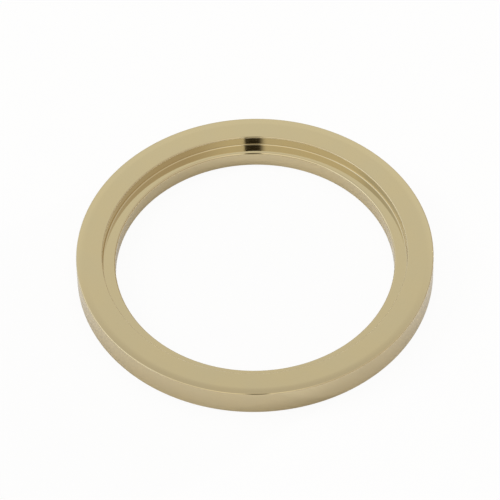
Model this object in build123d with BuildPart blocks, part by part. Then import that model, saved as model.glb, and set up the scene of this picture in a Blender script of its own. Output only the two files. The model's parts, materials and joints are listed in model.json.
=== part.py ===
"""Shower escutcheon: a one-piece turned ring that trims the hole where a shower fitting leaves the wall.

The ring lies on its flat back face. A stepped bore runs through it: a shallow recess opens from the polished
front face, its floor is a flat seat ledge, and a plain bore goes on down through the back.
"""

import os
from math import radians, sin

from build123d import *

# Driving dimensions, in millimetres and degrees
outer_diameter = 124.0  # over the plain outer wall
height = 10.0  # from the back face to the front face
rim_width = 9.1  # front face, from the outer wall to the recess wall
recess_depth = 3.9  # from the front face down to the seat ledge
ledge_width = 4.4  # seat ledge, from the recess wall to the bore wall
edge_round = 0.45  # both corners of the front face: outer edge and recess mouth
lip_round = 0.7  # outside corner where the seat ledge drops into the bore
corner_round = 0.45  # inside corner between the recess wall and the seat ledge
back_chamfer = 0.2  # both corners of the back face
rolloff_radius = 18.0  # slow fall that buffing leaves on the front face, just inside its outer edge
rolloff_angle = 8.0  # slope at which that fall runs into the outer edge round

# Radii and heights of the turned section, from the driving dimensions
outer_radius = outer_diameter / 2
recess_radius = outer_radius - rim_width
bore_radius = recess_radius - ledge_width
ledge_height = height - recess_depth
rolloff_slope = sin(radians(rolloff_angle))
rolloff_start = outer_radius - rolloff_radius * rolloff_slope - edge_round * (1 - rolloff_slope)

# Corners of the section, by radius and height, that are rounded or chamfered once its outline is closed
recess_mouth = (recess_radius, height)
recess_foot = (recess_radius, ledge_height)
bore_lip = (bore_radius, ledge_height)
back_corners = [(outer_radius, 0), (bore_radius, 0)]

# The ring is one revolved section. Its outline runs from the recess mouth across the front face, over the
# buffed outer edge, down the outer wall, back across the back face and up the two steps of the bore.
with BuildPart() as escutcheon_ring:
    with BuildSketch(Plane.XZ) as section:
        with BuildLine():
            front_face = Line(recess_mouth, (rolloff_start, height))
            rolloff = JernArc(front_face @ 1, front_face % 1, rolloff_radius, -rolloff_angle)
            outer_edge = JernArc(rolloff @ 1, rolloff % 1, edge_round, rolloff_angle - 90)
            Polyline(
                outer_edge @ 1,
                *back_corners,
                bore_lip,
                recess_foot,
                recess_mouth,
            )
        make_face()
        fillet(section.vertices().sort_by_distance(recess_mouth)[0], edge_round)
        fillet(section.vertices().sort_by_distance(recess_foot)[0], corner_round)
        fillet(section.vertices().sort_by_distance(bore_lip)[0], lip_round)
        for corner in back_corners:
            chamfer(section.vertices().sort_by_distance(corner)[0], back_chamfer)
    revolve(axis=Axis.Z)

os.makedirs("parts", exist_ok=True)
escutcheon_ring.part.label = "escutcheon_ring"
export_step(escutcheon_ring.part, "parts/escutcheon_ring.step")
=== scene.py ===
"""Looks of a turned shower escutcheon ring: polished surface, pale gold finish and a plain white studio."""

import functools
import json
import logging
import math
import operator
from dataclasses import dataclass, field
from enum import Enum, IntEnum
from typing import Any

import bpy
import numpy as np
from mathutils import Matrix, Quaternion, Vector


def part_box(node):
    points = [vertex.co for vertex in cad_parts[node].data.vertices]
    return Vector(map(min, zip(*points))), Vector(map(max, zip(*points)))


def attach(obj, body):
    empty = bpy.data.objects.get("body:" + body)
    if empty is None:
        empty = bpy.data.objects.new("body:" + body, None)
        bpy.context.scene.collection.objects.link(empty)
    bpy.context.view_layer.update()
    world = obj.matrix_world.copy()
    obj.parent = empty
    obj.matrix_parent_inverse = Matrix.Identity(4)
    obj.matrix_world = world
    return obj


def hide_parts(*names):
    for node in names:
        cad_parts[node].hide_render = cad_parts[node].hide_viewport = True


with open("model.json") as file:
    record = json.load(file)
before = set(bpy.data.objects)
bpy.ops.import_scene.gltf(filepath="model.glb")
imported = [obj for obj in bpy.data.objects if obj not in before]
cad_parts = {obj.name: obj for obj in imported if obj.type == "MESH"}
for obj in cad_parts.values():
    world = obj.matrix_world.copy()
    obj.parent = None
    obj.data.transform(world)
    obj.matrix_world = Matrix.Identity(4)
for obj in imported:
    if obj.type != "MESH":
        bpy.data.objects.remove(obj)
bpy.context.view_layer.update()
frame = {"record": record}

Colour = tuple[float, float, float]
Place = tuple[float, float, float]
Point = tuple[float, float]
Limits = tuple[float, float]

LOG = logging.getLogger("escutcheon")
MM = 0.001
RING_NODE = "escutcheon_ring"
IMAGE_SIDE_PX = 500
SENSOR_MM = 36.0
WHITE: Colour = (1.0, 1.0, 1.0)


class Ray(Enum):
    """Kinds of light ray that the floor or the room can answer differently."""

    CAMERA = "Is Camera Ray"
    GLOSSY = "Is Glossy Ray"


class Part(Enum):
    """Parts of a direction in the room.

    X points to the right, Y away from the lens and Z up, as parts of a length of 1. The azimuth is the turn
    from the lens round to the right, in radians.
    """

    X = "x"
    Y = "y"
    Z = "z"
    AZIMUTH = "azimuth"


class ColourMix(IntEnum):
    """Numbers of the Mix node's colour sockets, because it has each name once for every kind of value."""

    SHARE = 0
    FIRST = 6
    SECOND = 7
    RESULT = 2


class Value:
    """A number that varies over a surface: it wraps a socket, and Python's operators on it add Math nodes."""

    def __init__(self, sheet: "NodeSheet", socket: bpy.types.NodeSocket) -> None:
        """Keeps the sheet that the nodes go on and the socket that holds the number."""
        self.sheet = sheet
        self.socket = socket

    def math(self, operation: str, *operands: Any) -> "Value":
        """Adds one Math node.

        Args:
            operation: Blender's name of the operation.
            operands: values or numbers for the node's inputs, in order.

        Returns:
            The node's result.
        """
        inputs = dict(enumerate(operands))
        return self.sheet.value(self.sheet.node("ShaderNodeMath", {"operation": operation}, inputs))

    def __add__(self, other: Any) -> "Value":
        """Sum."""
        return self.math("ADD", self, other)

    def __sub__(self, other: Any) -> "Value":
        """Difference."""
        return self.math("SUBTRACT", self, other)

    def __rsub__(self, other: Any) -> "Value":
        """Difference, with the number first."""
        return self.math("SUBTRACT", other, self)

    def __mul__(self, other: Any) -> "Value":
        """Product."""
        return self.math("MULTIPLY", self, other)

    def __truediv__(self, other: Any) -> "Value":
        """Quotient."""
        return self.math("DIVIDE", self, other)

    def __rtruediv__(self, other: Any) -> "Value":
        """Quotient, with the number first."""
        return self.math("DIVIDE", other, self)

    def __pow__(self, other: Any) -> "Value":
        """Power."""
        return self.math("POWER", self, other)

    def __rpow__(self, other: Any) -> "Value":
        """Power, with the number first."""
        return self.math("POWER", other, self)

    __radd__ = __add__
    __rmul__ = __mul__

    def rise(self, low: float, high: float) -> "Value":
        """Smooth step from 0 at low to 1 at high.

        Args:
            low: value at which the step starts.
            high: value at which it ends; under low, the step falls.

        Returns:
            The step, held at 0 and 1 outside that range.
        """
        settings = {"interpolation_type": "SMOOTHSTEP", "clamp": True}
        inputs = {"Value": self, "From Min": low, "From Max": high}
        return self.sheet.value(self.sheet.node("ShaderNodeMapRange", settings, inputs))


class NodeSheet:
    """The node tree of one material or of the room, cleared and ready to be drawn on."""

    def __init__(self, owner: Any) -> None:
        """Turns on the owner's nodes and takes out the ones that come with it."""
        owner.use_nodes = True
        self.tree = owner.node_tree
        self.tree.nodes.clear()

    def node(
        self,
        kind: str,
        settings: dict[str, Any] | None = None,
        inputs: dict[Any, Any] | None = None,
    ) -> bpy.types.Node:
        """Adds a node.

        Args:
            kind: Blender's type name of the node.
            settings: the node's own properties, set first.
            inputs: socket name or number to a value, a socket, a number or a colour.

        Returns:
            The new node.
        """
        made = self.tree.nodes.new(kind)
        for name, setting in (settings or {}).items():
            setattr(made, name, setting)
        for name, given in (inputs or {}).items():
            source = given.socket if isinstance(given, Value) else given
            if isinstance(source, bpy.types.NodeSocket):
                self.tree.links.new(source, made.inputs[name])
            else:
                made.inputs[name].default_value = source
        return made

    def value(self, node: bpy.types.Node, output: int | str = 0) -> Value:
        """One output of a node as a value."""
        return Value(self, node.outputs[output])

    def axes(self, coordinate: str) -> tuple[Value, Value, Value]:
        """X, Y and Z of one of the Texture Coordinate node's outputs.

        Args:
            coordinate: name of that output.

        Returns:
            The three parts as values.
        """
        place = self.node("ShaderNodeTexCoord").outputs[coordinate]
        parts = self.node("ShaderNodeSeparateXYZ", inputs={0: place})
        return self.value(parts, "X"), self.value(parts, "Y"), self.value(parts, "Z")

    def ray(self, kind: Ray) -> Value:
        """One for rays of that kind, and zero for the rest."""
        return self.value(self.node("ShaderNodeLightPath"), kind.value)

    def light(self, kind: str, colour: Colour) -> bpy.types.NodeSocket:
        """An Emission or Background node of one colour, at strength 1."""
        return self.node(kind, inputs={"Color": (*colour, 1.0), "Strength": 1.0}).outputs[0]

    def mix_colour(self, share: Value, first: Colour, second: Colour) -> bpy.types.NodeSocket:
        """Mixes two colours.

        Args:
            share: share of the second one.
            first: colour where the share is 0.
            second: colour where the share is 1.

        Returns:
            The mixed colour.
        """
        inputs = {ColourMix.SHARE: share, ColourMix.FIRST: (*first, 1.0), ColourMix.SECOND: (*second, 1.0)}
        return self.node("ShaderNodeMix", {"data_type": "RGBA"}, inputs).outputs[ColourMix.RESULT]

    def blend(
        self,
        share: Value,
        first: bpy.types.NodeSocket,
        second: bpy.types.NodeSocket,
    ) -> bpy.types.NodeSocket:
        """Mixes two shaders.

        Args:
            share: share of the second one.
            first: shader where the share is 0.
            second: shader where the share is 1.

        Returns:
            The mixed shader.
        """
        return self.node("ShaderNodeMixShader", inputs={0: share, 1: first, 2: second}).outputs[0]


@dataclass(frozen=True)
class PolishedGold:
    """Pale champagne gold, buffed to a mirror on the lathe: faint turning lines and a breath of haze."""

    base: Colour = (0.672, 0.58, 0.38)
    warm: Colour = (0.686, 0.585, 0.373)
    tone_limits: Limits = (0.3, 0.7)
    roughness: float = 0.05
    haze_gain: float = 0.03
    haze_limits: Limits = (0.35, 0.8)
    haze_size: float = 14 * MM
    haze_octaves: float = 3.0
    haze_grain: float = 0.55
    line_gain: float = 0.02
    line_pitch: float = 0.25 * MM
    line_drift: float = 2.0
    line_octaves: float = 2.0
    line_grain: float = 0.6
    bump_height: float = 0.0006 * MM
    lacquer: float = 0.3

    def lines(self, sheet: NodeSheet) -> Value:
        """Turning lines: noise in radius and height that is held long around the ring.

        The noise has four coordinates: radius and height over the pitch, and the cosine and sine of the
        azimuth times the drift, so the pattern closes without a seam.

        Args:
            sheet: the finish's nodes.

        Returns:
            The lines, from 0 to 1.
        """
        x, y, z = sheet.axes("Object")
        radius = (x * x + y * y) ** 0.5
        place = sheet.node("ShaderNodeCombineXYZ", inputs={
            "X": radius / self.line_pitch,
            "Y": z / self.line_pitch,
            "Z": x / radius * self.line_drift,
        })
        return sheet.value(sheet.node("ShaderNodeTexNoise", {"noise_dimensions": "4D"}, {
            "Vector": place.outputs[0],
            "W": y / radius * self.line_drift,
            "Scale": 1.0,
            "Detail": self.line_octaves,
            "Roughness": self.line_grain,
        }))

    def haze(self, sheet: NodeSheet) -> Value:
        """Haze that the buffing wheel leaves: soft noise over the whole ring.

        Args:
            sheet: the finish's nodes.

        Returns:
            The haze, from 0 to 1.
        """
        return sheet.value(sheet.node("ShaderNodeTexNoise", {"noise_dimensions": "3D"}, {
            "Vector": sheet.node("ShaderNodeTexCoord").outputs["Object"],
            "Scale": 1 / self.haze_size,
            "Detail": self.haze_octaves,
            "Roughness": self.haze_grain,
        }))

    def material(self) -> bpy.types.Material:
        """Draws the finish.

        The tone goes from base to warm with the haze, haze and lines add to the roughness, and the lines also
        stand up from the surface by the bump height.

        Returns:
            The material.
        """
        made = bpy.data.materials.new("polished_gold")
        sheet = NodeSheet(made)
        lines = self.lines(sheet)
        haze = self.haze(sheet)
        dulling = haze.rise(*self.haze_limits) * self.haze_gain + lines * self.line_gain
        bump = sheet.node("ShaderNodeBump", inputs={
            "Strength": 1.0,
            "Distance": self.bump_height,
            "Height": lines,
        })
        surface = sheet.node("ShaderNodeBsdfPrincipled", inputs={
            "Base Color": sheet.mix_colour(haze.rise(*self.tone_limits), self.base, self.warm),
            "Metallic": 1.0,
            "Roughness": self.roughness + dulling,
            "Normal": bump.outputs[0],
            "Coat Weight": self.lacquer,
        })
        sheet.node("ShaderNodeOutputMaterial", inputs={"Surface": surface.outputs[0]})
        return made


@dataclass
class EscutcheonRing:
    """The ring: one turned section carried round the axis. Lengths are in metres, angles in radians."""

    outer_radius: float
    height: float
    recess_radius: float
    bore_radius: float
    ledge_height: float
    edge_round: float = 0.45 * MM
    lip_round: float = 0.7 * MM
    corner_round: float = 0.45 * MM
    back_chamfer: float = 0.2 * MM
    rolloff_radius: float = 18.0 * MM
    rolloff_angle: float = math.radians(8.0)
    guard: float = 0.02 * MM
    around: int = 720
    steps_per_round: int = 14

    @classmethod
    def from_frame(cls, record: dict[str, Any]) -> "EscutcheonRing":
        """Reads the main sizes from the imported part.

        Args:
            record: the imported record, whose mounts give the bore, the recess and the ledge.

        Returns:
            The ring at those sizes.
        """
        _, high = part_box(RING_NODE)
        mounts = {mount["name"]: mount for mount in record["mounts"]}
        return cls(
            outer_radius=high.x,
            height=high.z,
            recess_radius=mounts["front_recess"]["dims"]["r_mm"] * MM,
            bore_radius=mounts["through_bore"]["dims"]["r_mm"] * MM,
            ledge_height=mounts["seat_ledge"]["pos_m"][2],
        )

    def straight(self, start: Point, end: Point) -> np.ndarray:
        """A straight run of the section, without its last point.

        The points are start + t (end - start), with t at 0, just after 0, one half and just before 1, so that
        shading turns only within the guard distance of each end.

        Args:
            start: radius and height of the first end.
            end: radius and height of the other end.

        Returns:
            Four points, one a row.
        """
        first = np.array(start)
        run = np.array(end) - first
        near = self.guard / np.linalg.norm(run)
        share = np.array([0.0, near, 0.5, 1.0 - near])[:, None]
        return first + share * run

    def arc(self, centre: Point, radius: float, start: float, turn: float) -> np.ndarray:
        """A round of the section, without its last point.

        The points are centre + radius (cos a, sin a), with the angle a going evenly from start through turn.

        Args:
            centre: radius and height of the round's centre.
            radius: the round's own radius.
            start: first angle, from the outward radial direction towards the front.
            turn: signed angle that the round goes through.

        Returns:
            The points, one a row.
        """
        angle = np.linspace(start, start + turn, self.steps_per_round, endpoint=False)
        return np.array(centre) + radius * np.stack([np.cos(angle), np.sin(angle)], axis=1)

    def section(self) -> np.ndarray:
        """The closed outline of the turned section.

        It runs from the recess mouth over the front face, the buffed outer edge, the outer wall, the back
        face, the bore, the bore's lip, the ledge, the inside corner and the recess wall.

        Returns:
            Radius and height of each point, one a row.
        """
        edge, lip, corner, chamfer = self.edge_round, self.lip_round, self.corner_round, self.back_chamfer
        outer, recess, bore = self.outer_radius, self.recess_radius, self.bore_radius
        front, ledge, fall = self.height, self.ledge_height, self.rolloff_angle
        quarter, slope, level = math.pi / 2, math.sin(fall), math.cos(fall)
        fall_start = outer - self.rolloff_radius * slope - edge * (1 - slope)
        edge_height = front - self.rolloff_radius * (1 - level) - edge * level
        return np.concatenate([
            self.arc((recess + edge, front - edge), edge, math.pi, -quarter),
            self.straight((recess + edge, front), (fall_start, front)),
            self.arc((fall_start, front - self.rolloff_radius), self.rolloff_radius, quarter, -fall),
            self.arc((outer - edge, edge_height), edge, quarter - fall, fall - quarter),
            self.straight((outer, edge_height), (outer, chamfer)),
            self.straight((outer, chamfer), (outer - chamfer, 0.0)),
            self.straight((outer - chamfer, 0.0), (bore + chamfer, 0.0)),
            self.straight((bore + chamfer, 0.0), (bore, chamfer)),
            self.straight((bore, chamfer), (bore, ledge - lip)),
            self.arc((bore + lip, ledge - lip), lip, math.pi, -quarter),
            self.straight((bore + lip, ledge), (recess - corner, ledge)),
            self.arc((recess - corner, ledge + corner), corner, -quarter, quarter),
            self.straight((recess, ledge + corner), (recess, front - edge)),
        ])

    def build(self) -> bpy.types.Object:
        """Carries the section round the axis.

        The surface is (r(s) cos a, r(s) sin a, z(s)), with s along the section and the azimuth a round the
        ring. Both close on themselves, and each face lists its corners so that it points out of the metal.

        Returns:
            The ring's object, at the origin.
        """
        outline = self.section()
        along = len(outline)
        azimuth = np.linspace(0.0, 2 * math.pi, self.around, endpoint=False)
        radius, level = outline[:, 0, None], outline[:, 1, None]
        surface = np.broadcast_arrays(radius * np.cos(azimuth), radius * np.sin(azimuth), level)
        points = np.stack(surface, axis=-1)
        here = np.arange(along * self.around).reshape(along, self.around)
        ahead = np.roll(here, -1, axis=0)
        faces = np.stack([here, ahead, np.roll(ahead, -1, axis=1), np.roll(here, -1, axis=1)], axis=-1)
        mesh = bpy.data.meshes.new("ring_surface")
        mesh.from_pydata(points.reshape(-1, 3).tolist(), [], faces.reshape(-1, 4).tolist())
        mesh.polygons.foreach_set("use_smooth", np.ones(along * self.around, dtype=bool))
        mesh.update()
        ring = bpy.data.objects.new("ring_surface", mesh)
        bpy.context.scene.collection.objects.link(ring)
        return ring

    def dress(self, ring: bpy.types.Object, finish: PolishedGold) -> None:
        """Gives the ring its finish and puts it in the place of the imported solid.

        Args:
            ring: the built object.
            finish: its finish.
        """
        ring.data.materials.append(finish.material())
        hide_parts(RING_NODE)
        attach(ring, "root")


@dataclass
class Floor:
    """A white floor, in metres: the lens sees it nearly burnt out, the metal its true shade and shadow."""

    half: float = 4.0
    colour: Colour = (0.91, 0.895, 0.865)
    shadow_share: float = 0.07

    def build(self) -> bpy.types.Object:
        """Lays the floor: a square whose corners are half its side to the right or left, and away or near.

        Returns:
            The floor's object.
        """
        corners = self.half * np.array([(-1, -1, 0), (1, -1, 0), (1, 1, 0), (-1, 1, 0)], dtype=float)
        mesh = bpy.data.meshes.new("floor")
        mesh.from_pydata(corners.tolist(), [], [(0, 1, 2, 3)])
        made = bpy.data.objects.new("floor", mesh)
        bpy.context.scene.collection.objects.link(made)
        return made

    def dress(self, made: bpy.types.Object) -> None:
        """Paints the floor white, with only a share of its shadow left for the lens.

        Args:
            made: the built object.
        """
        material = bpy.data.materials.new("white_floor")
        sheet = NodeSheet(material)
        plain = sheet.node("ShaderNodeBsdfDiffuse", inputs={"Color": (*self.colour, 1.0)}).outputs[0]
        burnt = sheet.ray(Ray.CAMERA) * (1 - self.shadow_share)
        look = sheet.blend(burnt, plain, sheet.light("ShaderNodeEmission", WHITE))
        sheet.node("ShaderNodeOutputMaterial", inputs={"Surface": look})
        made.data.materials.append(material)


@dataclass(frozen=True)
class Lamp:
    """A square soft lamp aimed at the ring, left out of reflections. Power is in watts, lengths in metres."""

    name: str
    power: float
    side: float
    place: Place

    def build(self) -> None:
        """Hangs the lamp at its place and turns it to the origin."""
        light = bpy.data.lights.new(self.name, "AREA")
        light.energy = self.power
        light.size = self.side
        made = bpy.data.objects.new(self.name, light)
        made.location = self.place
        made.rotation_mode = "QUATERNION"
        made.rotation_quaternion = (-Vector(self.place)).to_track_quat("-Z", "Y")
        made.visible_glossy = False
        bpy.context.scene.collection.objects.link(made)


@dataclass(frozen=True)
class SoftEdge:
    """A soft edge of a panel: along one part of the direction, the panel comes in from low to high."""

    part: Part
    low: float
    high: float


@dataclass(frozen=True)
class Panel:
    """A panel of one colour that the metal mirrors, made of patches that soft edges hold in."""

    colour: Colour
    patches: tuple[tuple[SoftEdge, ...], ...]

    def lay(
        self,
        sheet: NodeSheet,
        under: bpy.types.NodeSocket,
        direction: dict[Part, Value],
    ) -> bpy.types.NodeSocket:
        """Lays the panel over what the room shows so far.

        A patch covers the product of its edges' smooth steps.

        Args:
            sheet: the room's nodes.
            under: the room so far.
            direction: the parts of the direction that is looked in.

        Returns:
            The room with the panel in it.
        """
        light = sheet.light("ShaderNodeBackground", self.colour)
        for patch in self.patches:
            steps = [direction[edge.part].rise(edge.low, edge.high) for edge in patch]
            under = sheet.blend(functools.reduce(operator.mul, steps), under, light)
        return under


# Soft edges that several panels of the room share
FRONT_SIDE = SoftEdge(Part.Y, 0.2, -0.15)
RIGHT_SIDE = SoftEdge(Part.X, 0.15, 0.55)


@dataclass
class Room:
    """The room: white to the lens, soft panels to the metal and an even glow to everything else."""

    ambient: Colour = (0.465, 0.448, 0.425)
    back: Colour = (0.848, 0.829, 0.729)
    back_gap: Panel = Panel((0.645, 0.615, 0.545), (
        (SoftEdge(Part.Z, 0.7, 0.9),),
        (SoftEdge(Part.Z, 0.6, 0.3),),
    ))
    front: Panel = Panel((0.955, 0.985, 1.04), (
        (SoftEdge(Part.X, -0.32, -1.05),),
        (FRONT_SIDE,),
    ))
    front_high: Panel = Panel((1.1, 1.0, 0.8), (
        (FRONT_SIDE, SoftEdge(Part.Z, 0.8, 0.88)),
    ))
    front_low: Panel = Panel((0.7, 0.635, 0.485), (
        (SoftEdge(Part.Y, -0.5, -0.7), SoftEdge(Part.Z, 0.6, 0.45)),
    ))
    right: Panel = Panel((0.735, 0.715, 0.735), (
        (RIGHT_SIDE,),
    ))
    right_low: Panel = Panel((0.6, 0.53, 0.42), (
        (RIGHT_SIDE, SoftEdge(Part.Z, 0.72, 0.5)),
    ))
    right_high: Panel = Panel((0.8, 0.7, 0.52), (
        (RIGHT_SIDE, SoftEdge(Part.Z, 0.79, 0.85)),
    ))
    left_gap: Panel = Panel((0.745, 0.785, 0.85), (
        (SoftEdge(Part.X, -0.3, -0.5), SoftEdge(Part.Y, -0.1, 0.15), SoftEdge(Part.Z, 0.55, 0.7)),
    ))
    left_lamp: Panel = Panel((1.55, 1.47, 1.25), (
        (SoftEdge(Part.X, -0.64, -0.82), SoftEdge(Part.Z, 0.35, 0.55)),
    ))
    lens_gap: Panel = Panel((0.04, 0.036, 0.028), (
        (
            SoftEdge(Part.AZIMUTH, -0.182, -0.075),
            SoftEdge(Part.AZIMUTH, 0.115, 0.1),
            SoftEdge(Part.Z, 0.6, 0.66),
            SoftEdge(Part.Z, 0.9, 0.86),
        ),
        (
            SoftEdge(Part.X, -0.058, -0.046),
            SoftEdge(Part.X, 0.066, 0.056),
            SoftEdge(Part.Y, -0.06, -0.1),
            SoftEdge(Part.Z, 0.52, 0.58),
        ),
    ))

    def build(self) -> None:
        """Hangs each panel over those before it and shows each kind of ray its own room."""
        world = bpy.data.worlds.new("white_room")
        bpy.context.scene.world = world
        sheet = NodeSheet(world)
        x, y, z = sheet.axes("Generated")
        direction = {Part.X: x, Part.Y: y, Part.Z: z, Part.AZIMUTH: x.math("ARCTAN2", x, 0 - y)}
        mirrored = sheet.light("ShaderNodeBackground", self.back)
        panels = (
            self.back_gap, self.front, self.front_high, self.front_low, self.right,
            self.right_low, self.right_high, self.left_gap, self.left_lamp, self.lens_gap,
        )
        for panel in panels:
            mirrored = panel.lay(sheet, mirrored, direction)
        even = sheet.light("ShaderNodeBackground", self.ambient)
        white = sheet.light("ShaderNodeBackground", WHITE)
        look = sheet.blend(sheet.ray(Ray.GLOSSY), even, mirrored)
        look = sheet.blend(sheet.ray(Ray.CAMERA), look, white)
        sheet.node("ShaderNodeOutputWorld", inputs={"Surface": look})


@dataclass
class Studio:
    """The stage: the floor, a lamp on the left, one overhead, a small low one on the right, and the room."""

    floor: Floor = field(default_factory=Floor)
    lamps: tuple[Lamp, ...] = (
        Lamp("key_left", power=9.0, side=0.8, place=(-1.49, 0.2, 1.1)),
        Lamp("soft_top", power=10.0, side=1.6, place=(0.1, 0.3, 1.8)),
        Lamp("low_right", power=31.0, side=0.12, place=(1.25, 0.8, 0.09)),
    )
    room: Room = field(default_factory=Room)

    def build(self) -> list[str]:
        """Sets up the whole stage.

        Returns:
            The names of its pieces.
        """
        floor = self.floor.build()
        self.floor.dress(floor)
        for lamp in self.lamps:
            lamp.build()
        self.room.build()
        return [floor.name, *(lamp.name for lamp in self.lamps), "room"]


@dataclass
class PhotoCamera:
    """A long lens that looks down on the ring, placed as the photograph's own view. Lengths are in metres."""

    distance: float = 1.488
    elevation: float = math.radians(50.82)
    aim: Point = (-1.66 * MM, 9.39 * MM)
    roll: float = math.radians(1.15)
    focal_px: float = 4268.8
    nearest: float = 0.05
    farthest: float = 50.0

    def build(self) -> Vector:
        """Places the camera.

        Returns:
            Where its lens is.
        """
        place = self.distance * Vector((0.0, -math.cos(self.elevation), math.sin(self.elevation)))
        data = bpy.data.cameras.new("photo_camera")
        data.sensor_width = SENSOR_MM
        data.lens = SENSOR_MM * self.focal_px / IMAGE_SIDE_PX
        data.clip_start = self.nearest
        data.clip_end = self.farthest
        camera = bpy.data.objects.new("photo_camera", data)
        look = Vector((*self.aim, 0.0)) - place
        camera.location = place
        camera.rotation_mode = "QUATERNION"
        camera.rotation_quaternion = look.to_track_quat("-Z", "Y") @ Quaternion((0, 0, 1), -self.roll)
        bpy.context.scene.collection.objects.link(camera)
        bpy.context.scene.camera = camera
        return place


def main() -> None:
    """Builds the ring, its finish, the camera and the stage, in that order."""
    logging.basicConfig(level=logging.INFO, format="%(name)s: %(message)s")
    bpy.context.scene.view_settings.view_transform = "Standard"
    part = EscutcheonRing.from_frame(frame["record"])
    ring = part.build()
    part.dress(ring, PolishedGold())
    LOG.info("ring_surface: %d faces, outer radius %.1f mm", len(ring.data.polygons), part.outer_radius / MM)
    lens = PhotoCamera().build()
    LOG.info("photo_camera: %.2f m away", lens.length)
    LOG.info("stage: %s", ", ".join(Studio().build()))


if __name__ == "__main__":
    main()
